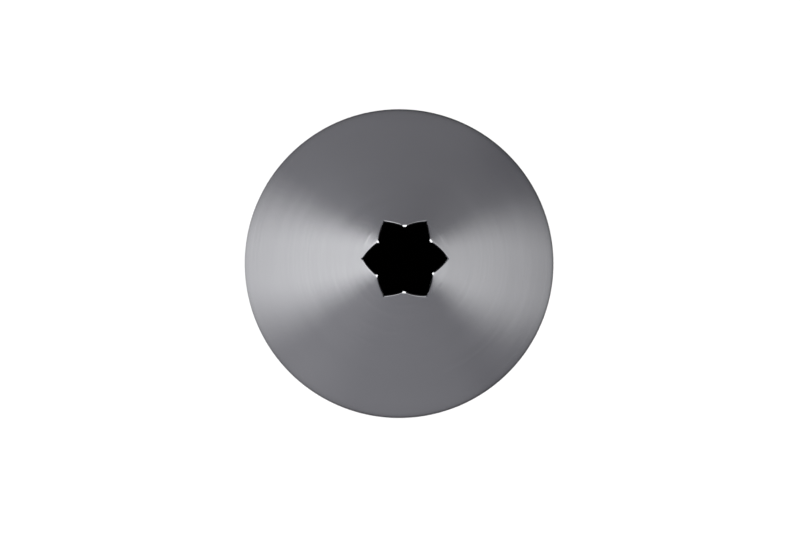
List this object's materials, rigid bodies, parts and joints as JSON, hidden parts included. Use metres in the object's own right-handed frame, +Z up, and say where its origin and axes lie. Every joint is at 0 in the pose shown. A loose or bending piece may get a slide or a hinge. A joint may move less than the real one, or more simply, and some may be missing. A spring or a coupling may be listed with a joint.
{
  "type": "piping nozzle",
  "caption": "Straight-sided conical piping nozzle of satin stainless sheet, open at both ends, with a toothed star mouth that shapes icing pressed through it.",
  "frame": {"origin": "centre of the wide rim, in the plane that the rim stands on", "axes": "+Z up along the cone's axis, from the wide rim to the toothed mouth; +X through a notch root"},
  "size_m": [0.032, 0.032, 0.05],
  "materials": {
    "satin_steel": "satin stainless, fine marks round the cone"
  },
  "bodies": {
    "root": {"nozzle_shell": "satin_steel"}
  },
  "joints": []
}
